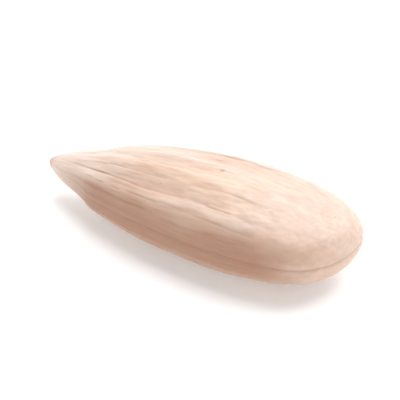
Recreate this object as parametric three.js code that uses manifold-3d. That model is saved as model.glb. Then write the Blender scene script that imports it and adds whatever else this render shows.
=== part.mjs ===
// A hulled sunflower seed: two seed leaves pressed together under a papery seed coat, grown as one body.
// Millimetres, +Z up. It lies on one broad face with its pointed root tip towards -X.
// The origin is on the surface that it lies on, under the middle of its box.

import * as THREE from "three";
import { mergeVertices } from "three/addons/utils/BufferGeometryUtils.js";
import Module from "manifold-3d";

// Driving dimensions
const LENGTH = 11.0; // from the root tip to the blunt end
const WIDTH = 4.3; // across the broad faces, from side to side
const THICKNESS = 2.52; // between the broad faces, without their keels
const FLAT_DEPTH = 0.09; // how far the belly is worn flat where it rests

// How full the outline and the side view are along the length.
// taper shapes the pointed half, round the blunt end, and fill keeps the middle broad.
const OUTLINE = { taper: 1.0, round: 0.53, fill: 0.3 };
const SIDE_VIEW = { taper: 0.82, round: 0.47, fill: 0.34 };
const TIP_ROUNDING = 0.03; // share of the length over which the root tip is rounded

// A slight waist sets the root tip off from the body. Places along the body are shares of its length.
const WAIST_AT = 0.15;
const WAIST_DEPTH = 0.09; // share of the breadth
const WAIST_REACH = 0.07;

// The section is a circle for the two faces, cut off by two flat sides between the tip and the blunt end
const FACE_BULGE = 1.12; // radius of the circle, where the flat sides lie 1 from its middle
const EDGE_SHARPNESS = 9; // how tightly a face turns into a side
const SIDES_RISE = [0.04, 0.36]; // the stretch over which the flat sides appear
const SIDES_FALL = [0.78, 1.0]; // the stretch over which they are lost in the round end

// The middle line bends: the tip leans to one side and droops a little, and the blunt end is cut askew
const TIP_LEAN = -0.5;
const TIP_DROOP = 0.42;
const END_SLANT = 0.15;
const END_SLANT_POWER = 4; // the higher it is, the nearer to the blunt end the slant stays

// Ridges along the body. turn is in degrees round the section, from the +Y side over the upper face.
const RIDGES = [
  { turn: 98, height: 0.11, spread: 16, from: 0.06, to: 0.84 }, // keel of the upper face
  { turn: 274, height: 0.08, spread: 22, from: 0.06, to: 0.8 }, // keel of the lower face
  { turn: 29, height: 0.025, spread: 7, from: 0.12, to: 0.88 }, // edges, where a face turns into a side
  { turn: 151, height: 0.03, spread: 7, from: 0.1, to: 0.9 },
  { turn: 209, height: 0.025, spread: 7, from: 0.12, to: 0.88 },
  { turn: 331, height: 0.03, spread: 7, from: 0.1, to: 0.9 },
];
const RIDGE_FADE = 0.22; // the stretch over which a ridge rises from nothing

// Low veins of the seed coat, which run from the tip over both faces
const VEINS = 13;
const VEIN_HEIGHT = 0.015;
const VEIN_DRIFT = 1.3; // how far a vein turns from tip to end, in radians of its own wave
const VEINS_RISE = [0.05, 0.2];
const VEINS_FALL = [0.62, 0.88];

// The seam round the sides, where the two seed leaves meet
const SEAM_DEPTH = 0.04;
const SEAM_SPREAD = 0.09;
const SEAM_START = 0.2;

// The seed coat ends in a low collar behind the bare root tip
const COLLAR_AT = 0.2;
const COLLAR_HEIGHT = 0.02;
const COLLAR_SPREAD = 0.03;

// Shallow hollows where the hull pressed on the body: middle, depth, and reach along and round it
const HOLLOWS = [
  { along: 0.42, turn: 118, depth: 0.07, reach: 0.16, spread: 24 },
  { along: 0.68, turn: 52, depth: 0.05, reach: 0.1, spread: 20 },
  { along: 0.5, turn: 236, depth: 0.06, reach: 0.14, spread: 22 },
];

// How finely the surface is divided
const SIDES = 96;
const RINGS = 42;
const EVEN_SHARE = 0.25; // keeps the rings off the two ends, where they would crowd

const DEGREE = Math.PI / 180;
const FLESH_COLOUR = 0xccb09b;

const clamp01 = (value) => Math.min(1, Math.max(0, value));
const smooth = (low, high, value) => {
  const t = clamp01((value - low) / (high - low));
  return t * t * (3 - 2 * t);
};
const riseAndFall = (along, rise, fall) => smooth(...rise, along) * (1 - smooth(...fall, along));
const bell = (offset, spread) => Math.exp(-((offset / spread) ** 2));
const turnBetween = (a, b) => Math.abs(((a - b + 540) % 360) - 180);

// Half breadth along the body, from 0 at both ends to about 1
function swell(along, form) {
  const fromTip = Math.sqrt(along * (along + TIP_ROUNDING));
  const widest = form.taper / (form.taper + form.round);
  const top = widest ** form.taper * (1 - widest) ** form.round;
  const plain = (fromTip ** form.taper * (1 - along) ** form.round) / top;
  const waist = 1 - WAIST_DEPTH * bell(along - WAIST_AT, WAIST_REACH);
  return plain * (1 + form.fill * (1 - plain)) * waist;
}

// Distance from the section's middle to its edge: a circle, cut by the flat sides as far as they are formed
function sectionReach(cosine, flatness) {
  const circle = FACE_BULGE ** -EDGE_SHARPNESS;
  return (circle + flatness * Math.abs(cosine) ** EDGE_SHARPNESS) ** (-1 / EDGE_SHARPNESS);
}

// The plain body, before its ridges and seam
function bodyPoint(along, turn) {
  const cosine = Math.cos(turn * DEGREE);
  const reach = sectionReach(cosine, riseAndFall(along, SIDES_RISE, SIDES_FALL));
  const halfWidth = ((WIDTH / 2) * swell(along, OUTLINE) * reach) / sectionReach(1, 1);
  const halfThickness = ((THICKNESS / 2) * swell(along, SIDE_VIEW) * reach) / FACE_BULGE;
  const sideways = halfWidth * cosine;
  const slant = (END_SLANT / (WIDTH / 2)) * along ** END_SLANT_POWER;
  const towardsTip = (1 - along) ** 2;
  return new THREE.Vector3(
    (along - 0.5) * LENGTH + slant * sideways,
    sideways + TIP_LEAN * towardsTip,
    halfThickness * Math.sin(turn * DEGREE) - TIP_DROOP * towardsTip
  );
}

// How far the surface stands out from the plain body
function relief(along, turn, aboveSeam) {
  let height = 0;
  for (const ridge of RIDGES) {
    const rise = smooth(ridge.from, ridge.from + RIDGE_FADE, along);
    const fall = 1 - smooth(ridge.to - RIDGE_FADE, ridge.to, along);
    height += ridge.height * rise * fall * bell(turnBetween(turn, ridge.turn), ridge.spread);
  }
  for (const hollow of HOLLOWS) {
    const across = bell(turnBetween(turn, hollow.turn), hollow.spread);
    height -= hollow.depth * across * bell(along - hollow.along, hollow.reach);
  }
  const onFace = Math.sin(turn * DEGREE) ** 2;
  const veined = riseAndFall(along, VEINS_RISE, VEINS_FALL);
  height += VEIN_HEIGHT * veined * onFace * Math.cos(VEINS * turn * DEGREE + VEIN_DRIFT * along);
  height -= SEAM_DEPTH * smooth(SEAM_START, SEAM_START + RIDGE_FADE, along) * bell(aboveSeam, SEAM_SPREAD);
  height += COLLAR_HEIGHT * bell(along - COLLAR_AT, COLLAR_SPREAD);
  return height;
}

// The kernel's closed skin: a sphere whose rings are spread along the body and shaped by the two rules above
function kernelSkin() {
  const sphere = new THREE.SphereGeometry(1, SIDES, RINGS);
  sphere.deleteAttribute("normal");
  sphere.deleteAttribute("uv");
  const skin = mergeVertices(sphere);
  const points = skin.attributes.position;
  const places = [];
  const from = new THREE.Vector3();
  for (let i = 0; i < points.count; i++) {
    from.fromBufferAttribute(points, i);
    const polar = Math.acos(THREE.MathUtils.clamp(from.y, -1, 1)) / Math.PI;
    const along = EVEN_SHARE * polar + (1 - EVEN_SHARE) * (1 - Math.cos(polar * Math.PI)) / 2;
    const turn = (Math.atan2(-from.x, from.z) / DEGREE + 360) % 360;
    const point = bodyPoint(along, turn);
    places.push({ along, turn, point });
    points.setXYZ(i, point.x, point.y, point.z);
  }
  skin.computeVertexNormals();
  const normals = skin.attributes.normal;
  places.forEach(({ along, turn, point }, i) => {
    const seamHeight = -TIP_DROOP * (1 - along) ** 2;
    const out = new THREE.Vector3().fromBufferAttribute(normals, i);
    point.addScaledVector(out, relief(along, turn, point.z - seamHeight));
    points.setXYZ(i, point.x, point.y, point.z);
  });
  skin.deleteAttribute("normal");
  return skin;
}

// Sets the skin down so that its box is centred on the origin and its lowest part is under the surface
function setDown(skin) {
  skin.computeBoundingBox();
  const box = skin.boundingBox;
  const middle = box.getCenter(new THREE.Vector3());
  skin.translate(-middle.x, -middle.y, -box.min.z - FLAT_DEPTH);
  return skin;
}

const wasm = await Module();
wasm.setup();

function solidFrom(geometry) {
  const plain = geometry.clone();
  plain.deleteAttribute("normal");
  plain.deleteAttribute("uv");
  const merged = mergeVertices(plain);
  return new wasm.Manifold(
    new wasm.Mesh({
      numProp: 3,
      vertProperties: new Float32Array(merged.attributes.position.array),
      triVerts: new Uint32Array(merged.index.array),
    })
  );
}

function geometryFrom(solid) {
  const mesh = solid.getMesh();
  const geometry = new THREE.BufferGeometry();
  geometry.setAttribute("position", new THREE.BufferAttribute(mesh.vertProperties, 3));
  geometry.setIndex(new THREE.BufferAttribute(mesh.triVerts, 1));
  geometry.computeVertexNormals();
  return geometry;
}

// The small flat spot under the belly: everything below the surface is cut away
function kernelGeometry() {
  const ground = new THREE.BoxGeometry(2 * LENGTH, 2 * LENGTH, LENGTH).translate(0, 0, -LENGTH / 2);
  return geometryFrom(solidFrom(setDown(kernelSkin())).subtract(solidFrom(ground)));
}

const flesh = new THREE.MeshStandardMaterial({ color: FLESH_COLOUR, roughness: 0.62, metalness: 0 });

const kernel = new THREE.Mesh(kernelGeometry(), flesh);
kernel.name = "kernel";

const seed = new THREE.Group();
seed.add(kernel);

export default seed;
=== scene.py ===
"""A hulled sunflower seed on a white light table, in soft light. Metres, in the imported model's frame."""

import math

import bpy
import mathutils
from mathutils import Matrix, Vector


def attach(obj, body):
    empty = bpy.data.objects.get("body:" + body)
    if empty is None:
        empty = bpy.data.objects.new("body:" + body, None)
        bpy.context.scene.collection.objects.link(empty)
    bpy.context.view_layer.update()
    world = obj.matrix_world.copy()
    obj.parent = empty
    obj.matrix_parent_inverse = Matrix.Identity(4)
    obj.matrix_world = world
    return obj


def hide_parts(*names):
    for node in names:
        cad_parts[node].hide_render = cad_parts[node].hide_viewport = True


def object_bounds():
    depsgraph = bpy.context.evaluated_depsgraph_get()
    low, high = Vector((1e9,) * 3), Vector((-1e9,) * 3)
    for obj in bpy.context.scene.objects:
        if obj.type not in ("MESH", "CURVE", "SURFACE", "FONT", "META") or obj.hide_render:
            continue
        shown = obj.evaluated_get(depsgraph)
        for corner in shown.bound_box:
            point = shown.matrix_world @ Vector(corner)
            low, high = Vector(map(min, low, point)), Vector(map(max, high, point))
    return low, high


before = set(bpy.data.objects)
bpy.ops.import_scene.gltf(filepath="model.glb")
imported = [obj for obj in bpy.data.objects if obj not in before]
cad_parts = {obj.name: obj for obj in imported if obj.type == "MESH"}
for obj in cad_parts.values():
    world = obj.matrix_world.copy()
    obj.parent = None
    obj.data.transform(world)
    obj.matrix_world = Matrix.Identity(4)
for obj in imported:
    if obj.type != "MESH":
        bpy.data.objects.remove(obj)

SOLID_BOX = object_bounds()
MM = 0.001

# The seed's driving sizes
LENGTH = 11.0 * MM
WIDTH = 4.3 * MM
THICKNESS = 2.52 * MM
FLAT_DEPTH = 0.09 * MM

# How full the outline and the side view are: taper shapes the pointed half, round the blunt end
OUTLINE = {"Taper": 1.0, "Round": 0.53, "Fill": 0.3}
SIDE_VIEW = {"Taper": 0.82, "Round": 0.47, "Fill": 0.34}
TIP_ROUNDING = 0.03  # share of the length over which the root tip is rounded

# The waist that sets the root tip off from the body. Places along the seed are shares of its length.
WAIST_AT = 0.15
WAIST_DEPTH = 0.09
WAIST_REACH = 0.07

# The section: a circle for the two faces, cut off by two flat sides between the tip and the blunt end
FACE_BULGE = 1.12
EDGE_SHARPNESS = 9.0
SIDES_RISE = (0.04, 0.36)
SIDES_FALL = (0.78, 1.0)

# The middle line leans to one side and droops towards the tip, and the blunt end is cut a little askew
TIP_LEAN = -0.5 * MM
TIP_DROOP = 0.42 * MM
END_SLANT = 0.15 * MM
END_SLANT_POWER = 4.0  # the higher it is, the nearer to the blunt end the slant stays

# Ridges along the body. Place is in degrees round the section, from the +Y side over the upper face.
RIDGES = (
    {"Place": 98, "Height": 0.11 * MM, "Spread": 16, "From": 0.06, "To": 0.84},  # keel of the upper face
    {"Place": 274, "Height": 0.08 * MM, "Spread": 22, "From": 0.06, "To": 0.8},  # keel of the lower face
    {"Place": 29, "Height": 0.025 * MM, "Spread": 7, "From": 0.12, "To": 0.88},  # edges of the faces
    {"Place": 151, "Height": 0.03 * MM, "Spread": 7, "From": 0.1, "To": 0.9},
    {"Place": 209, "Height": 0.025 * MM, "Spread": 7, "From": 0.12, "To": 0.88},
    {"Place": 331, "Height": 0.03 * MM, "Spread": 7, "From": 0.1, "To": 0.9},
)
RIDGE_FADE = 0.22  # the stretch over which a ridge rises from nothing

# Shallow hollows that the hull pressed in
HOLLOWS = (
    {"At": 0.42, "Place": 118, "Depth": 0.07 * MM, "Reach": 0.16, "Spread": 24},
    {"At": 0.68, "Place": 52, "Depth": 0.05 * MM, "Reach": 0.1, "Spread": 20},
    {"At": 0.5, "Place": 236, "Depth": 0.06 * MM, "Reach": 0.14, "Spread": 22},
)

# Low veins over both faces, in two overlapping sets
VEINS = (
    {"Count": 13, "Height": 0.015 * MM, "Drift": 1.3},
    {"Count": 22, "Height": 0.01 * MM, "Drift": -2.1},
)
VEINS_RISE = (0.05, 0.2)
VEINS_FALL = (0.62, 0.88)

# The seam round the thin edge, and the collar where the seed coat ends behind the root tip
SEAM_DEPTH = 0.04 * MM
SEAM_SPREAD = 0.09 * MM
SEAM_START = 0.2
COLLAR_AT = 0.2
COLLAR_HEIGHT = 0.02 * MM
COLLAR_SPREAD = 0.03

# The seed coat's fine surface: each pattern's name, its lie, its size, its height and its noise detail.
# The coat's cells are a few hundredths of a millimetre wide and wouldn't show. Its fibres are coarser.
SURFACE_SEED = 4.0
SURFACE_PATTERNS = (
    ("swellings", "as it lies", 2.2 * MM, 0.045 * MM, 1.0),
    ("pleats", "drawn out", 0.5 * MM, 0.022 * MM, 2.0),
    ("fibres", "drawn out", 0.13 * MM, 0.01 * MM, 3.0),
    ("pits", "as it lies", 0.16 * MM, 0.009 * MM, 2.0),
)
PATTERN_ROUGHNESS = 0.55
PATTERNS_RISE = (0.04, 0.2)
SMOOTH_END_OVER = (0.68, 0.94)
SMOOTH_END = 0.6  # share of the patterns that is left at the blunt end

# What is drawn out lies on a tube with a round end, which is shortened for the noise
TUBE_RADIUS = 2.0 * MM
TUBE_SHORTENING = 0.14
ROUND_END_FROM = 0.6

# Fine lines pressed into the coat, which run lengthwise and come and go
LINES = 26
LINE_WANDER = 0.35  # how far the pleats push a line aside
LINE_SHARE = 0.9  # a line is where its wave is above this
LINES_SHOW = (-0.08, 0.14)  # they come in as the coat swells from the one to the other
LINE_DEPTH = 0.02 * MM
LINES_RISE = (0.04, 0.2)
LINES_FALL = (0.62, 0.85)

# Where the coat still covers the flesh, by a ragged noise: hardly on the root tip, mostly behind it
COAT_PATCH = 1.1 * MM
COAT_PATCH_DETAIL = 5.0
COAT_PATCH_ROUGHNESS = 0.62
COAT_STARTS = (0.08, 0.24)
COAT_GAIN = (-0.35, 0.11)  # what the noise gains on the root tip, and behind it
COAT_RUB = 1.4  # what it loses for each millimetre of crest
COAT_EDGE = (0.5, 0.54)  # the coat ends between these values of it
COAT_THICKNESS = 0.015 * MM

# The browner sides, partly a thicker coat and partly painted shade. Its edge is a share of the way from a
# face to a side.
BROWN_EDGE = (0.74, 0.97)
BROWN_RAGGED = {"swellings": 0.25, "pleats": 0.3, "fibres": 0.25}
BROWN_RISE = (0.02, 0.26)
BROWN_FALL = (0.8, 1.0)

# How finely the skin is divided
SKIN_SIDES = 304
SKIN_RINGS = 316
EVEN_SHARE = 0.25  # keeps the rings off the two ends, where they would crowd

# Colours of the flesh and its coat
FLESH_CREAM = "#D7BEA8"
FLESH_WARM = "#CDAC92"
COAT_PINK = "#C5A18A"
COAT_GREY = "#BFA492"
COAT_PALE = "#D6C0AD"
# Brown of the sides: partly a thicker coat, partly painted shade
SIDE_COAT_AND_SHADE = "#98643F"
# Darkens the gaps between fibres, and is painted shade in the seam and the pressed lines
HOLLOW_SHADE = "#94684B"
TIP_IVORY = "#D9C8BB"
TIP_TAN = "#B08062"
SPECK_BROWN = "#8F6045"

# Noise in the colour and in the grain, by its real sizes. The flesh's cells are finer and wouldn't show.
SKIN_NOISES = {
    "mottling": {"size": 1.5 * MM, "detail": 4.0, "roughness": 0.6},
    "clouds": {"size": 0.9 * MM, "detail": 3.0, "roughness": 0.5},
    "specks": {"size": 0.3 * MM, "detail": 1.0, "roughness": 0.5},
    "grain": {"size": 0.06 * MM, "detail": 2.0, "roughness": 0.5},
}
GREY_OVER = (0.42, 0.62)  # from pink to grey coat, by the mottling
PALE_OVER = (-0.24, 0.28)  # from the bottoms of the pleats to their rubbed, paler tops

# Tones laid over the skin in turn: the mark that brings one in, its share over which values of the mark
TONES = (
    # The bare root tip is paler
    {"mark": "along", "over": (0.06, 0.42), "share": (0.8, 0.0), "ramp": "SMOOTHSTEP", "tone": TIP_IVORY},
    # The sides are browner: partly a thicker coat, partly painted shade
    {"mark": "side", "over": (0.0, 1.0), "share": (0.0, 0.82), "ramp": "LINEAR", "tone": SIDE_COAT_AND_SHADE},
    # The gaps between fibres are darker, and the bottom of the seam and the pressed lines are darkened with
    # painted shade
    {"mark": "fibres", "over": (-0.16, 0.08), "share": (0.32, 0.0), "ramp": "LINEAR", "tone": HOLLOW_SHADE},
    {"mark": "seam", "over": (0.6, 1.0), "share": (0.0, 0.35), "ramp": "LINEAR", "tone": HOLLOW_SHADE},
    {"mark": "crease", "over": (0.0, 1.0), "share": (0.0, 0.55), "ramp": "LINEAR", "tone": HOLLOW_SHADE},
    # A few small brown specks, about a tenth of a millimetre across
    {"mark": "specks", "over": (0.76, 0.81), "share": (0.0, 0.45), "ramp": "LINEAR", "tone": SPECK_BROWN},
    # The very point, where the root would have come out, has dried tan
    {"mark": "along", "over": (0.0, 0.045), "share": (0.7, 0.0), "ramp": "SMOOTHSTEP", "tone": TIP_TAN},
)

# How smooth the oily flesh and its dry coat are, and how fine the grain under both
FLESH_ROUGHNESS = 0.38
COAT_ROUGHNESS = 0.44
FLESH_IOR = 1.48
SHEEN = 0.9
GRAIN_STRENGTH = 0.35
GRAIN_DEPTH = 0.006 * MM

# How much of the light sinks into the flesh, how deep, and the share of that depth for red, green and blue
SUNK_LIGHT = 0.25
SUNK_DEPTH = 0.3 * MM
SUNK_SHARES = (1.0, 0.42, 0.22)

# A white light table, which turns up into a low wall all the way round
TABLE_WHITE = "#ECECEC"
TABLE_GLOW_COLOUR = "#FFFFFF"
TABLE_GLOW = 0.22
TABLE_ROUGHNESS = 0.9
TABLE_SHEEN = 0.2
TABLE_RADIUS = 0.22
WALL_TURN = 0.12
WALL_HEIGHT = 0.08
TURN_STEPS = 12
TABLE_SIDES = 96

# A pale sky and one large soft light. Light and camera are placed by azimuth and elevation, in degrees.
SKY_COLOUR = "#FBF3EC"
SKY_STRENGTH = 0.38
KEY_LIGHT = {"azimuth": 180, "elevation": 62, "size": 0.36, "power": 1.49, "colour": "#F9FAFF"}
LIGHT_DISTANCE = 0.3

CAMERA_AZIMUTH = 36
CAMERA_ELEVATION = 33
CAMERA_LENS = 400
CAMERA_SENSOR = 36
CAMERA_DISTANCE = 0.137
CAMERA_CLIP = (0.01, 2.0)


def linear(hex_colour):
    """The linear colour of an sRGB hex value."""
    channels = [int(hex_colour[i : i + 2], 16) / 255 for i in (1, 3, 5)]
    return [c / 12.92 if c <= 0.04045 else ((c + 0.055) / 1.055) ** 2.4 for c in channels] + [1.0]


def add(tree, kind, feeds=None, **settings):
    """Adds a node with its settings. Each input gets a value, a socket or another node's first output."""
    node = tree.nodes.new(kind)
    for setting, value in settings.items():
        setattr(node, setting, value)
    for socket, feed in (feeds or {}).items():
        if isinstance(feed, bpy.types.Node):
            feed = feed.outputs[0]
        if isinstance(feed, bpy.types.NodeSocket):
            tree.links.new(feed, node.inputs[socket])
        else:
            node.inputs[socket].default_value = feed
    return node


def start_group(name, inputs, output, output_type="NodeSocketFloat"):
    """A new group with named inputs and one output. Gives its tree, its input sockets and its end node."""
    tree = bpy.data.node_groups.new(name, "GeometryNodeTree")
    for label, socket_type in inputs.items():
        tree.interface.new_socket(name=label, in_out="INPUT", socket_type=socket_type)
    tree.interface.new_socket(name=output, in_out="OUTPUT", socket_type=output_type)
    return tree, add(tree, "NodeGroupInput").outputs, add(tree, "NodeGroupOutput")


def floats(*names):
    """Inputs that each take one number, by their names."""
    return dict.fromkeys(names, "NodeSocketFloat")


def bell_group():
    """A bell curve: 1 where the offset is 0, falling off over the spread."""
    tree, given, end = start_group("bell", floats("Offset", "Spread"), "Bell")
    share = add(tree, "ShaderNodeMath", {0: given["Offset"], 1: given["Spread"]}, operation="DIVIDE")
    square = add(tree, "ShaderNodeMath", {0: share, 1: share}, operation="MULTIPLY")
    minus = add(tree, "ShaderNodeMath", {0: square, 1: -1.0}, operation="MULTIPLY")
    tree.links.new(add(tree, "ShaderNodeMath", {0: minus}, operation="EXPONENT").outputs[0], end.inputs[0])
    return tree


def swell_group(bell):
    """The half breadth along the seed, from 0 at both ends to about 1, with the waist behind the tip."""
    tree, given, end = start_group("swell", floats("Along", "Taper", "Round", "Fill", "Peak"), "Swell")
    along = given["Along"]
    eased = add(tree, "ShaderNodeMath", {0: along, 1: TIP_ROUNDING}, operation="ADD")
    product = add(tree, "ShaderNodeMath", {0: along, 1: eased}, operation="MULTIPLY")
    from_tip = add(tree, "ShaderNodeMath", {0: product}, operation="SQRT")
    rise = add(tree, "ShaderNodeMath", {0: from_tip, 1: given["Taper"]}, operation="POWER")
    from_end = add(tree, "ShaderNodeMath", {0: 1.0, 1: along}, operation="SUBTRACT", use_clamp=True)
    fall = add(tree, "ShaderNodeMath", {0: from_end, 1: given["Round"]}, operation="POWER")
    shape = add(tree, "ShaderNodeMath", {0: rise, 1: fall}, operation="MULTIPLY")
    plain = add(tree, "ShaderNodeMath", {0: shape, 1: given["Peak"]}, operation="DIVIDE")
    missing = add(tree, "ShaderNodeMath", {0: 1.0, 1: plain}, operation="SUBTRACT")
    filled = add(tree, "ShaderNodeMath", {0: given["Fill"], 1: missing, 2: 1.0}, operation="MULTIPLY_ADD")
    swell = add(tree, "ShaderNodeMath", {0: plain, 1: filled}, operation="MULTIPLY")
    past_waist = add(tree, "ShaderNodeMath", {0: along, 1: WAIST_AT}, operation="SUBTRACT")
    at_waist = add(tree, "GeometryNodeGroup", {"Offset": past_waist, "Spread": WAIST_REACH}, node_tree=bell)
    drawn_in = add(tree, "ShaderNodeMath", {0: at_waist, 1: -WAIST_DEPTH, 2: 1.0}, operation="MULTIPLY_ADD")
    waisted = add(tree, "ShaderNodeMath", {0: swell, 1: drawn_in}, operation="MULTIPLY")
    tree.links.new(waisted.outputs[0], end.inputs[0])
    return tree


def across_group(bell):
    """A bell curve round the section: 1 at a place, in degrees, and falling off to both sides of it."""
    tree, given, end = start_group("across", floats("Turn", "Place", "Spread"), "Across")
    apart = add(tree, "ShaderNodeMath", {0: given["Turn"], 1: given["Place"]}, operation="SUBTRACT")
    nearest = add(tree, "ShaderNodeMath", {0: apart, 1: 180.0, 2: -180.0}, operation="WRAP")
    across = add(tree, "GeometryNodeGroup", {"Offset": nearest, "Spread": given["Spread"]}, node_tree=bell)
    tree.links.new(across.outputs[0], end.inputs[0])
    return tree


def ridge_group(across):
    """One ridge along the body, which rises from nothing and fades out again."""
    names = floats("Along", "Turn", "Place", "Height", "Spread", "From", "To")
    tree, given, end = start_group("ridge", names, "Height")
    along = given["Along"]
    risen = add(tree, "ShaderNodeMath", {0: given["From"], 1: RIDGE_FADE}, operation="ADD")
    rise = add(
        tree,
        "ShaderNodeMapRange",
        {"Value": along, "From Min": given["From"], "From Max": risen},
        interpolation_type="SMOOTHSTEP",
    )
    falling = add(tree, "ShaderNodeMath", {0: given["To"], 1: RIDGE_FADE}, operation="SUBTRACT")
    fall = add(
        tree,
        "ShaderNodeMapRange",
        {"Value": along, "From Min": falling, "From Max": given["To"], "To Min": 1.0, "To Max": 0.0},
        interpolation_type="SMOOTHSTEP",
    )
    place = {name: given[name] for name in ("Turn", "Place", "Spread")}
    sideways = add(tree, "GeometryNodeGroup", place, node_tree=across)
    stretch = add(tree, "ShaderNodeMath", {0: rise, 1: fall}, operation="MULTIPLY")
    shape = add(tree, "ShaderNodeMath", {0: stretch, 1: sideways}, operation="MULTIPLY")
    height = add(tree, "ShaderNodeMath", {0: shape, 1: given["Height"]}, operation="MULTIPLY")
    tree.links.new(height.outputs[0], end.inputs[0])
    return tree


def hollow_group(bell, across):
    """One shallow hollow."""
    names = floats("Along", "Turn", "At", "Place", "Depth", "Reach", "Spread")
    tree, given, end = start_group("hollow", names, "Height")
    away = add(tree, "ShaderNodeMath", {0: given["Along"], 1: given["At"]}, operation="SUBTRACT")
    lengthwise = add(tree, "GeometryNodeGroup", {"Offset": away, "Spread": given["Reach"]}, node_tree=bell)
    place = {name: given[name] for name in ("Turn", "Place", "Spread")}
    sideways = add(tree, "GeometryNodeGroup", place, node_tree=across)
    shape = add(tree, "ShaderNodeMath", {0: lengthwise, 1: sideways}, operation="MULTIPLY")
    depth = add(tree, "ShaderNodeMath", {0: shape, 1: given["Depth"]}, operation="MULTIPLY")
    height = add(tree, "ShaderNodeMath", {0: depth, 1: -1.0}, operation="MULTIPLY")
    tree.links.new(height.outputs[0], end.inputs[0])
    return tree


def rise_and_fall(tree, along, rise, fall):
    """A share that rises from 0 to 1 over one stretch of the seed and falls back to 0 over another."""
    risen = add(
        tree,
        "ShaderNodeMapRange",
        {"Value": along, "From Min": rise[0], "From Max": rise[1]},
        interpolation_type="SMOOTHSTEP",
    )
    left = add(
        tree,
        "ShaderNodeMapRange",
        {"Value": along, "From Min": fall[0], "From Max": fall[1], "To Min": 1.0, "To Max": 0.0},
        interpolation_type="SMOOTHSTEP",
    )
    return add(tree, "ShaderNodeMath", {0: risen, 1: left}, operation="MULTIPLY")


def peak(form):
    """The largest value of a swell before it is scaled to 1."""
    widest = form["Taper"] / (form["Taper"] + form["Round"])
    return widest ** form["Taper"] * (1 - widest) ** form["Round"]


def lay_out_places(tree):
    """A unit sphere whose points know their place: along from tip to blunt end, turn round the section."""
    sphere = add(
        tree,
        "GeometryNodeMeshUVSphere",
        {"Segments": SKIN_SIDES, "Rings": SKIN_RINGS, "Radius": 1.0},
    )
    place = add(tree, "ShaderNodeSeparateXYZ", {0: add(tree, "GeometryNodeInputPosition")}).outputs
    back = add(tree, "ShaderNodeMath", {0: place["Z"], 1: -1.0}, operation="MULTIPLY")
    polar = add(tree, "ShaderNodeMath", {0: back}, operation="ARCCOSINE")
    even = add(tree, "ShaderNodeMath", {0: polar, 1: EVEN_SHARE / math.pi}, operation="MULTIPLY")
    half = (1 - EVEN_SHARE) / 2
    crowded = add(tree, "ShaderNodeMath", {0: place["Z"], 1: half, 2: half}, operation="MULTIPLY_ADD")
    spread = add(tree, "ShaderNodeMath", {0: even, 1: crowded}, operation="ADD")
    angle = add(tree, "ShaderNodeMath", {0: place["Y"], 1: place["X"]}, operation="ARCTAN2")
    degrees = add(tree, "ShaderNodeMath", {0: angle}, operation="DEGREES")
    skin = sphere
    for name, value in (("along", spread), ("turn", degrees)):
        skin = add(tree, "GeometryNodeStoreNamedAttribute", {"Geometry": skin, "Name": name, "Value": value})
    return skin


def plain_body(tree, given, skin, bell, along, cosine, sine, droop):
    """The body before its relief: two bulging faces and two flat sides along a bent middle line."""
    flatness = rise_and_fall(tree, along, SIDES_RISE, SIDES_FALL)
    beside = add(tree, "ShaderNodeMath", {0: cosine}, operation="ABSOLUTE")
    steep = add(tree, "ShaderNodeMath", {0: beside, 1: EDGE_SHARPNESS}, operation="POWER")
    cut = add(
        tree,
        "ShaderNodeMath",
        {0: steep, 1: flatness, 2: FACE_BULGE**-EDGE_SHARPNESS},
        operation="MULTIPLY_ADD",
    )
    reach = add(tree, "ShaderNodeMath", {0: cut, 1: -1 / EDGE_SHARPNESS}, operation="POWER")

    swell = swell_group(bell)
    widest_reach = (FACE_BULGE**-EDGE_SHARPNESS + 1) ** (-1 / EDGE_SHARPNESS)
    half_sizes = {}
    for size, form, full_reach in (("Width", OUTLINE, widest_reach), ("Thickness", SIDE_VIEW, FACE_BULGE)):
        feeds = {"Along": along, "Peak": peak(form), **form}
        fullness = add(tree, "GeometryNodeGroup", feeds, node_tree=swell)
        scaled = add(tree, "ShaderNodeMath", {0: fullness, 1: given[size]}, operation="MULTIPLY")
        half = add(tree, "ShaderNodeMath", {0: scaled, 1: 0.5 / full_reach}, operation="MULTIPLY")
        half_sizes[size] = add(tree, "ShaderNodeMath", {0: half, 1: reach}, operation="MULTIPLY")

    sideways = add(tree, "ShaderNodeMath", {0: half_sizes["Width"], 1: cosine}, operation="MULTIPLY")
    lean = add(tree, "ShaderNodeMath", {0: droop, 1: -TIP_LEAN / TIP_DROOP}, operation="MULTIPLY")
    y = add(tree, "ShaderNodeMath", {0: sideways, 1: lean}, operation="ADD")
    z = add(
        tree,
        "ShaderNodeMath",
        {0: half_sizes["Thickness"], 1: sine, 2: droop},
        operation="MULTIPLY_ADD",
    )
    centred = add(tree, "ShaderNodeMath", {0: along, 1: 0.5}, operation="SUBTRACT")
    straight = add(tree, "ShaderNodeMath", {0: centred, 1: given["Length"]}, operation="MULTIPLY")
    near_end = add(tree, "ShaderNodeMath", {0: along, 1: END_SLANT_POWER}, operation="POWER")
    slant = add(tree, "ShaderNodeMath", {0: near_end, 1: END_SLANT / (WIDTH / 2)}, operation="MULTIPLY")
    x = add(tree, "ShaderNodeMath", {0: slant, 1: sideways, 2: straight}, operation="MULTIPLY_ADD")
    point = add(tree, "ShaderNodeCombineXYZ", {"X": x, "Y": y, "Z": z})
    return add(tree, "GeometryNodeSetPosition", {"Geometry": skin, "Position": point})


def ridges_and_hollows(tree, along, turn, bell):
    """The keels, the edges and the pressed hollows, as one height."""
    across = across_group(bell)
    total = None
    for kind, rows in ((ridge_group(across), RIDGES), (hollow_group(bell, across), HOLLOWS)):
        for row in rows:
            form = add(tree, "GeometryNodeGroup", {"Along": along, "Turn": turn, **row}, node_tree=kind)
            if total is None:
                total = form
            else:
                total = add(tree, "ShaderNodeMath", {0: total, 1: form}, operation="ADD")
    return total


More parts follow.
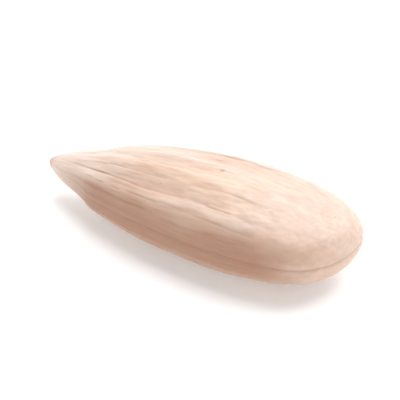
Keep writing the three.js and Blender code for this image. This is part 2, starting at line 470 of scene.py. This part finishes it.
def veins_over_the_faces(tree, along, radians, sine):
    """Low ribs that run from the tip over both faces and fade out near the ends."""
    ripple = None
    for vein in VEINS:
        wave = add(tree, "ShaderNodeMath", {0: radians, 1: float(vein["Count"])}, operation="MULTIPLY")
        drifted = add(
            tree,
            "ShaderNodeMath",
            {0: along, 1: vein["Drift"], 2: wave},
            operation="MULTIPLY_ADD",
        )
        crest = add(tree, "ShaderNodeMath", {0: drifted}, operation="COSINE")
        ripple = add(
            tree,
            "ShaderNodeMath",
            {0: crest, 1: vein["Height"], 2: 0.0 if ripple is None else ripple},
            operation="MULTIPLY_ADD",
        )
    on_face = add(tree, "ShaderNodeMath", {0: sine, 1: sine}, operation="MULTIPLY")
    faded = rise_and_fall(tree, along, VEINS_RISE, VEINS_FALL)
    facing = add(tree, "ShaderNodeMath", {0: faded, 1: on_face}, operation="MULTIPLY")
    return add(tree, "ShaderNodeMath", {0: facing, 1: ripple}, operation="MULTIPLY")


def seam_round_the_edge(tree, along, droop, bell):
    """The share of the fine groove where the two seed leaves meet: 1 along its bottom."""
    level = add(tree, "ShaderNodeSeparateXYZ", {0: add(tree, "GeometryNodeInputPosition")})
    above = add(tree, "ShaderNodeMath", {0: level.outputs["Z"], 1: droop}, operation="SUBTRACT")
    in_seam = add(tree, "GeometryNodeGroup", {"Offset": above, "Spread": SEAM_SPREAD}, node_tree=bell)
    opened = add(
        tree,
        "ShaderNodeMapRange",
        {"Value": along, "From Min": SEAM_START, "From Max": SEAM_START + RIDGE_FADE},
        interpolation_type="SMOOTHSTEP",
    )
    return add(tree, "ShaderNodeMath", {0: in_seam, 1: opened}, operation="MULTIPLY")


def collar_behind_the_tip(tree, along, bell):
    """The low swelling where the seed coat ends."""
    past = add(tree, "ShaderNodeMath", {0: along, 1: COLLAR_AT}, operation="SUBTRACT")
    collar = add(tree, "GeometryNodeGroup", {"Offset": past, "Spread": COLLAR_SPREAD}, node_tree=bell)
    return add(tree, "ShaderNodeMath", {0: collar, 1: COLLAR_HEIGHT}, operation="MULTIPLY")


def push_out(tree, skin, heights):
    """Moves the skin along its normals by the sum of the heights."""
    total = heights[0]
    for height in heights[1:]:
        total = add(tree, "ShaderNodeMath", {0: total, 1: height}, operation="ADD")
    normal = add(tree, "GeometryNodeInputNormal")
    offset = add(tree, "ShaderNodeVectorMath", {0: normal, "Scale": total}, operation="SCALE")
    return add(tree, "GeometryNodeSetPosition", {"Geometry": skin, "Offset": offset})


def drawn_out_places(tree, along, cosine, sine):
    """Places in millimetres on a tube with a round end, for what is drawn out lengthwise."""
    into_end = add(tree, "ShaderNodeMapRange", {"Value": along, "From Min": ROUND_END_FROM, "From Max": 1.0})
    end_angle = add(tree, "ShaderNodeMath", {0: into_end}, operation="ARCSINE")
    round_end = add(tree, "ShaderNodeMath", {0: end_angle}, operation="COSINE")
    radius = add(tree, "ShaderNodeMath", {0: round_end, 1: TUBE_RADIUS / MM}, operation="MULTIPLY")
    tube_length = LENGTH / MM * TUBE_SHORTENING
    distance = add(tree, "ShaderNodeMath", {0: along, 1: tube_length}, operation="MULTIPLY")
    right = add(tree, "ShaderNodeMath", {0: cosine, 1: radius}, operation="MULTIPLY")
    up = add(tree, "ShaderNodeMath", {0: sine, 1: radius}, operation="MULTIPLY")
    return add(tree, "ShaderNodeCombineXYZ", {"X": distance, "Y": right, "Z": up})


def surface_patterns(tree, given, along, drawn_out):
    """The coat's patterns by name, each swinging round 0 and weaker towards the blunt end."""
    position = add(tree, "GeometryNodeInputPosition")
    in_mm = add(tree, "ShaderNodeVectorMath", {0: position, "Scale": 1 / MM}, operation="SCALE")
    low, high = SMOOTH_END_OVER
    strength = add(
        tree,
        "ShaderNodeMapRange",
        {"Value": along, "From Min": low, "From Max": high, "To Min": 1.0, "To Max": SMOOTH_END},
        interpolation_type="SMOOTHSTEP",
    )
    patterns = {}
    for name, lie, feature, _, detail in SURFACE_PATTERNS:
        pattern = add(
            tree,
            "ShaderNodeTexNoise",
            {
                "Vector": drawn_out if lie == "drawn out" else in_mm,
                "W": given["Seed"],
                "Scale": MM / feature,
                "Detail": detail,
                "Roughness": PATTERN_ROUGHNESS,
            },
            noise_dimensions="4D",
        )
        centred = add(tree, "ShaderNodeMath", {0: pattern, 1: 0.5}, operation="SUBTRACT")
        patterns[name] = add(tree, "ShaderNodeMath", {0: centred, 1: strength}, operation="MULTIPLY")
    return patterns


def pressed_lines(tree, along, radians, patterns):
    """The share of a fine line, which wanders with the pleats and shows only where the coat swells."""
    turned = add(tree, "ShaderNodeMath", {0: radians, 1: float(LINES)}, operation="MULTIPLY")
    strayed = add(
        tree,
        "ShaderNodeMath",
        {0: patterns["pleats"], 1: LINES * LINE_WANDER, 2: turned},
        operation="MULTIPLY_ADD",
    )
    wave = add(tree, "ShaderNodeMath", {0: strayed}, operation="COSINE")
    line = add(
        tree,
        "ShaderNodeMapRange",
        {"Value": wave, "From Min": LINE_SHARE, "From Max": 1.0},
        interpolation_type="SMOOTHSTEP",
    )
    some = add(
        tree,
        "ShaderNodeMapRange",
        {"Value": patterns["swellings"], "From Min": LINES_SHOW[0], "From Max": LINES_SHOW[1]},
        interpolation_type="SMOOTHSTEP",
    )
    faded = rise_and_fall(tree, along, LINES_RISE, LINES_FALL)
    creased = add(tree, "ShaderNodeMath", {0: line, 1: some}, operation="MULTIPLY")
    return add(tree, "ShaderNodeMath", {0: creased, 1: faded}, operation="MULTIPLY")


def coat_cover(tree, given, along, drawn_out, crest):
    """1 where the coat covers the flesh, and 0 on the root tip, on rubbed crests and in ragged patches."""
    ragged = add(
        tree,
        "ShaderNodeTexNoise",
        {
            "Vector": drawn_out,
            "W": given["Seed"],
            "Scale": MM / COAT_PATCH,
            "Detail": COAT_PATCH_DETAIL,
            "Roughness": COAT_PATCH_ROUGHNESS,
        },
        noise_dimensions="4D",
    )
    (start, full), (on_tip, behind_it) = COAT_STARTS, COAT_GAIN
    gain = add(
        tree,
        "ShaderNodeMapRange",
        {"Value": along, "From Min": start, "From Max": full, "To Min": on_tip, "To Max": behind_it},
        clamp=True,
    )
    rubbed = add(tree, "ShaderNodeMath", {0: crest, 1: -COAT_RUB / MM}, operation="MULTIPLY")
    kept = add(tree, "ShaderNodeMath", {0: ragged, 1: gain}, operation="ADD")
    kept = add(tree, "ShaderNodeMath", {0: kept, 1: rubbed}, operation="ADD")
    return add(
        tree,
        "ShaderNodeMapRange",
        {"Value": kept, "From Min": COAT_EDGE[0], "From Max": COAT_EDGE[1]},
        interpolation_type="SMOOTHSTEP",
    )


def browned_and_shaded_sides(tree, along, cosine, patterns):
    """The share of the browner sides, with a ragged edge: partly a thicker coat, partly painted shade."""
    beside = add(tree, "ShaderNodeMath", {0: cosine}, operation="ABSOLUTE")
    for name, share in BROWN_RAGGED.items():
        beside = add(
            tree,
            "ShaderNodeMath",
            {0: patterns[name], 1: share, 2: beside},
            operation="MULTIPLY_ADD",
        )
    on_side = add(
        tree,
        "ShaderNodeMapRange",
        {"Value": beside, "From Min": BROWN_EDGE[0], "From Max": BROWN_EDGE[1]},
        interpolation_type="SMOOTHSTEP",
    )
    faded = rise_and_fall(tree, along, BROWN_RISE, BROWN_FALL)
    return add(tree, "ShaderNodeMath", {0: on_side, 1: faded}, operation="MULTIPLY")


def coat_surface(tree, given, skin, along, radians, cosine, sine, crest):
    """The dried coat: its patterns, lines and rubbed edges as relief, and their marks for the colour."""
    drawn_out = drawn_out_places(tree, along, cosine, sine)
    patterns = surface_patterns(tree, given, along, drawn_out)
    creased = pressed_lines(tree, along, radians, patterns)
    coat = coat_cover(tree, given, along, drawn_out, crest)
    away_from_tip = add(
        tree,
        "ShaderNodeMapRange",
        {"Value": along, "From Min": PATTERNS_RISE[0], "From Max": PATTERNS_RISE[1]},
        interpolation_type="SMOOTHSTEP",
    )
    heights = []
    for name, _, _, height, _ in SURFACE_PATTERNS:
        swing = add(tree, "ShaderNodeMath", {0: patterns[name], 1: 2 * height}, operation="MULTIPLY")
        heights.append(add(tree, "ShaderNodeMath", {0: swing, 1: away_from_tip}, operation="MULTIPLY"))
    heights.append(add(tree, "ShaderNodeMath", {0: creased, 1: -LINE_DEPTH}, operation="MULTIPLY"))
    heights.append(add(tree, "ShaderNodeMath", {0: coat, 1: COAT_THICKNESS}, operation="MULTIPLY"))
    for name, value in (
        ("coat", coat),
        # The side mark: browner sides, partly a thicker coat and partly painted shade
        ("side", browned_and_shaded_sides(tree, along, cosine, patterns)),
        ("crease", creased),
        ("pleats", patterns["pleats"]),
        ("fibres", patterns["fibres"]),
    ):
        skin = add(tree, "GeometryNodeStoreNamedAttribute", {"Geometry": skin, "Name": name, "Value": value})
    return push_out(tree, skin, heights)


def set_down(tree, given, skin):
    """Centres the seed's box on the origin, and presses the belly flat where it rests."""
    box = add(tree, "GeometryNodeBoundBox", {"Geometry": skin}).outputs
    corners = add(tree, "ShaderNodeVectorMath", {0: box["Min"], 1: box["Max"]}, operation="ADD")
    middle = add(tree, "ShaderNodeVectorMath", {0: corners, 1: (-0.5, -0.5, 0.0)}, operation="MULTIPLY")
    lowest = add(tree, "ShaderNodeSeparateXYZ", {0: box["Min"]})
    sunk = add(tree, "ShaderNodeMath", {0: lowest.outputs["Z"], 1: given["Flat Depth"]}, operation="ADD")
    rise = add(tree, "ShaderNodeMath", {0: sunk, 1: -1.0}, operation="MULTIPLY")
    shift = add(tree, "ShaderNodeVectorMath", {0: middle, 1: add(tree, "ShaderNodeCombineXYZ", {"Z": rise})})
    down = add(tree, "GeometryNodeSetPosition", {"Geometry": skin, "Offset": shift})
    # No point stays below the table. A limit a metre away leaves x and y as they are.
    position = add(tree, "GeometryNodeInputPosition")
    raised = add(tree, "ShaderNodeVectorMath", {0: position, 1: (-1.0, -1.0, 0.0)}, operation="MAXIMUM")
    return add(tree, "GeometryNodeSetPosition", {"Geometry": down, "Position": raised})


def kernel_tree(skin_material):
    """Grows the seed: a sphere drawn out to the body, with its relief, its coat and its flat spot."""
    inputs = floats("Length", "Width", "Thickness", "Flat Depth", "Seed")
    tree, given, end = start_group("hulled seed", inputs, "Geometry", "NodeSocketGeometry")
    bell = bell_group()
    skin = lay_out_places(tree)
    along = add(tree, "GeometryNodeInputNamedAttribute", {"Name": "along"}).outputs["Attribute"]
    turn = add(tree, "GeometryNodeInputNamedAttribute", {"Name": "turn"}).outputs["Attribute"]
    radians = add(tree, "ShaderNodeMath", {0: turn}, operation="RADIANS")
    cosine = add(tree, "ShaderNodeMath", {0: radians}, operation="COSINE")
    sine = add(tree, "ShaderNodeMath", {0: radians}, operation="SINE")
    from_end = add(tree, "ShaderNodeMath", {0: 1.0, 1: along}, operation="SUBTRACT")
    towards_tip = add(tree, "ShaderNodeMath", {0: from_end, 1: from_end}, operation="MULTIPLY")
    droop = add(tree, "ShaderNodeMath", {0: towards_tip, 1: -TIP_DROOP}, operation="MULTIPLY")

    skin = plain_body(tree, given, skin, bell, along, cosine, sine, droop)
    crest = ridges_and_hollows(tree, along, turn, bell)
    seam = seam_round_the_edge(tree, along, droop, bell)
    skin = add(tree, "GeometryNodeStoreNamedAttribute", {"Geometry": skin, "Name": "seam", "Value": seam})
    heights = [
        crest,
        veins_over_the_faces(tree, along, radians, sine),
        add(tree, "ShaderNodeMath", {0: seam, 1: -SEAM_DEPTH}, operation="MULTIPLY"),
        collar_behind_the_tip(tree, along, bell),
    ]
    skin = push_out(tree, skin, heights)
    skin = coat_surface(tree, given, skin, along, radians, cosine, sine, crest)
    skin = set_down(tree, given, skin)
    skin = add(tree, "GeometryNodeSetShadeSmooth", {"Geometry": skin, "Shade Smooth": True})
    skin = add(tree, "GeometryNodeRealizeInstances", {"Geometry": skin})
    skin = add(tree, "GeometryNodeSetMaterial", {"Geometry": skin, "Material": skin_material})
    tree.links.new(skin.outputs[0], end.inputs[0])
    return tree


def coat_on_flesh(tree, marks):
    """Flesh from cream to warm, and the coat over it, mottled pink and grey and paler on its pleats."""
    flesh = add(
        tree,
        "ShaderNodeMix",
        {0: marks["clouds"], 6: linear(FLESH_CREAM), 7: linear(FLESH_WARM)},
        data_type="RGBA",
    )
    greyed = add(
        tree,
        "ShaderNodeMapRange",
        {"Value": marks["mottling"], "From Min": GREY_OVER[0], "From Max": GREY_OVER[1]},
    )
    coat = add(
        tree,
        "ShaderNodeMix",
        {0: greyed, 6: linear(COAT_PINK), 7: linear(COAT_GREY)},
        data_type="RGBA",
    )
    paled = add(
        tree,
        "ShaderNodeMapRange",
        {"Value": marks["pleats"], "From Min": PALE_OVER[0], "From Max": PALE_OVER[1]},
    )
    coat = add(
        tree,
        "ShaderNodeMix",
        {0: paled, 6: coat.outputs[2], 7: linear(COAT_PALE)},
        data_type="RGBA",
    )
    return add(
        tree,
        "ShaderNodeMix",
        {0: marks["coat"], 6: flesh.outputs[2], 7: coat.outputs[2]},
        data_type="RGBA",
    )


def seed_skin():
    """Sunflower seed flesh under its dried seed coat.

    The flesh is dense and oily: light sinks into it and comes back warm, with a faint sheen on top.
    The coat is a thin matt film, pinker and greyer than the flesh. Its seam and creases are darkened with
    painted shade, and its sides are browner, partly a thicker coat and partly painted shade."""
    material = bpy.data.materials.new("seed flesh under dried seed coat")
    material.use_nodes = True
    tree = material.node_tree
    shader = tree.nodes["Principled BSDF"]

    marks = {
        name: add(tree, "ShaderNodeAttribute", attribute_name=name).outputs["Fac"]
        for name in ("along", "coat", "side", "seam", "crease", "pleats", "fibres")
    }
    place = add(tree, "ShaderNodeTexCoord").outputs["Object"]
    for name, noise in SKIN_NOISES.items():
        feeds = {"Scale": 1 / noise["size"], "Detail": noise["detail"], "Roughness": noise["roughness"]}
        marks[name] = add(tree, "ShaderNodeTexNoise", {"Vector": place, **feeds}).outputs[0]

    colour = coat_on_flesh(tree, marks)
    for layer in TONES:
        (low, high), (at_low, at_high) = layer["over"], layer["share"]
        share = add(
            tree,
            "ShaderNodeMapRange",
            {
                "Value": marks[layer["mark"]],
                "From Min": low,
                "From Max": high,
                "To Min": at_low,
                "To Max": at_high,
            },
            interpolation_type=layer["ramp"],
        )
        colour = add(
            tree,
            "ShaderNodeMix",
            {0: share, 6: colour.outputs[2], 7: linear(layer["tone"])},
            data_type="RGBA",
        )
    tree.links.new(colour.outputs[2], shader.inputs["Base Color"])

    roughness = add(
        tree,
        "ShaderNodeMapRange",
        {"Value": marks["coat"], "To Min": FLESH_ROUGHNESS, "To Max": COAT_ROUGHNESS},
    )
    tree.links.new(roughness.outputs[0], shader.inputs["Roughness"])
    bump = add(
        tree,
        "ShaderNodeBump",
        {"Height": marks["grain"], "Strength": GRAIN_STRENGTH, "Distance": GRAIN_DEPTH},
    )
    tree.links.new(bump.outputs[0], shader.inputs["Normal"])

    shader.inputs["IOR"].default_value = FLESH_IOR
    shader.inputs["Specular IOR Level"].default_value = SHEEN
    shader.inputs["Subsurface Weight"].default_value = SUNK_LIGHT
    shader.inputs["Subsurface Radius"].default_value = SUNK_SHARES
    shader.inputs["Subsurface Scale"].default_value = SUNK_DEPTH
    return material


def grow_kernel():
    """Runs the tree on an empty object and keeps the result as a plain mesh."""
    tree = kernel_tree(seed_skin())
    carrier = bpy.data.objects.new("carrier", bpy.data.meshes.new("carrier"))
    bpy.context.scene.collection.objects.link(carrier)
    modifier = carrier.modifiers.new("grow", "NODES")
    modifier.node_group = tree
    given = {
        "Length": LENGTH,
        "Width": WIDTH,
        "Thickness": THICKNESS,
        "Flat Depth": FLAT_DEPTH,
        "Seed": SURFACE_SEED,
    }
    for item in tree.interface.items_tree:
        if item.in_out == "INPUT":
            modifier[item.identifier] = given[item.name]
    grown = carrier.evaluated_get(bpy.context.evaluated_depsgraph_get())
    mesh = bpy.data.meshes.new_from_object(grown)
    carrier.modifiers.remove(modifier)
    bpy.data.objects.remove(carrier)
    kernel = bpy.data.objects.new("kernel_skin", mesh)
    bpy.context.scene.collection.objects.link(kernel)
    return kernel


def lit_acrylic():
    """Matt white acrylic, lit from below: it stays pure white, and takes only a faint, soft shadow."""
    material = bpy.data.materials.new("matt white acrylic, lit from below")
    material.use_nodes = True
    shader = material.node_tree.nodes["Principled BSDF"]
    shader.inputs["Base Color"].default_value = linear(TABLE_WHITE)
    shader.inputs["Roughness"].default_value = TABLE_ROUGHNESS
    shader.inputs["Specular IOR Level"].default_value = TABLE_SHEEN
    shader.inputs["Emission Color"].default_value = linear(TABLE_GLOW_COLOUR)
    shader.inputs["Emission Strength"].default_value = TABLE_GLOW
    return material


def white_sweep():
    """A round white light table: a level floor that turns up into a wall all the way round."""
    profile = [(0.0, 0.0), (TABLE_RADIUS / 2, 0.0)]
    for step in range(TURN_STEPS + 1):
        angle = math.radians(90 * step / TURN_STEPS)
        profile.append((TABLE_RADIUS + WALL_TURN * math.sin(angle), WALL_TURN * (1 - math.cos(angle))))
    profile.append((TABLE_RADIUS + WALL_TURN, WALL_TURN + WALL_HEIGHT))
    points = [(0.0, 0.0, 0.0)]
    faces = []
    for radius, height in profile[1:]:
        for side in range(TABLE_SIDES):
            angle = 2 * math.pi * side / TABLE_SIDES
            points.append((radius * math.cos(angle), radius * math.sin(angle), height))
    for side in range(TABLE_SIDES):
        following = (side + 1) % TABLE_SIDES
        faces.append((0, 1 + side, 1 + following))
        for ring in range(len(profile) - 2):
            low = 1 + ring * TABLE_SIDES
            high = low + TABLE_SIDES
            faces.append((low + side, high + side, high + following, low + following))
    mesh = bpy.data.meshes.new("white_sweep")
    mesh.from_pydata(points, [], faces)
    mesh.shade_smooth()
    mesh.materials.append(lit_acrylic())
    sweep = bpy.data.objects.new("white_sweep", mesh)
    bpy.context.scene.collection.objects.link(sweep)


def softbox(name, azimuth, elevation, size, power, colour):
    """A square soft light aimed at the seed."""
    data = bpy.data.lights.new(name, "AREA")
    data.shape = "SQUARE"
    data.size = size
    data.energy = power
    data.color = linear(colour)[:3]
    light = bpy.data.objects.new(name, data)
    a, e = math.radians(azimuth), math.radians(elevation)
    away = mathutils.Vector((math.sin(a) * math.cos(e), -math.cos(a) * math.cos(e), math.sin(e)))
    light.location = away * LIGHT_DISTANCE
    light.rotation_mode = "QUATERNION"
    light.rotation_quaternion = away.to_track_quat("Z", "Y")
    bpy.context.scene.collection.objects.link(light)


def light_the_scene():
    """The pale sky and the one soft light."""
    world = bpy.data.worlds.new("studio")
    world.use_nodes = True
    background = world.node_tree.nodes["Background"]
    background.inputs["Color"].default_value = linear(SKY_COLOUR)
    background.inputs["Strength"].default_value = SKY_STRENGTH
    bpy.context.scene.world = world
    softbox("key", **KEY_LIGHT)
    bpy.context.scene.view_settings.view_transform = "Standard"


def place_camera():
    """Looks at the middle of the solid from the photograph's viewing angle."""
    data = bpy.data.cameras.new("camera")
    data.lens = CAMERA_LENS
    data.sensor_width = CAMERA_SENSOR
    data.clip_start, data.clip_end = CAMERA_CLIP
    camera = bpy.data.objects.new("camera", data)
    a, e = math.radians(CAMERA_AZIMUTH), math.radians(CAMERA_ELEVATION)
    back = mathutils.Vector((math.sin(a) * math.cos(e), -math.cos(a) * math.cos(e), math.sin(e)))
    low, high = SOLID_BOX
    camera.location = (low + high) / 2 + back * CAMERA_DISTANCE
    camera.rotation_mode = "QUATERNION"
    camera.rotation_quaternion = (-back).to_track_quat("-Z", "Y")
    bpy.context.scene.collection.objects.link(camera)
    bpy.context.scene.camera = camera


place_camera()
light_the_scene()
white_sweep()
kernel = grow_kernel()
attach(kernel, "root")
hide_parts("kernel")
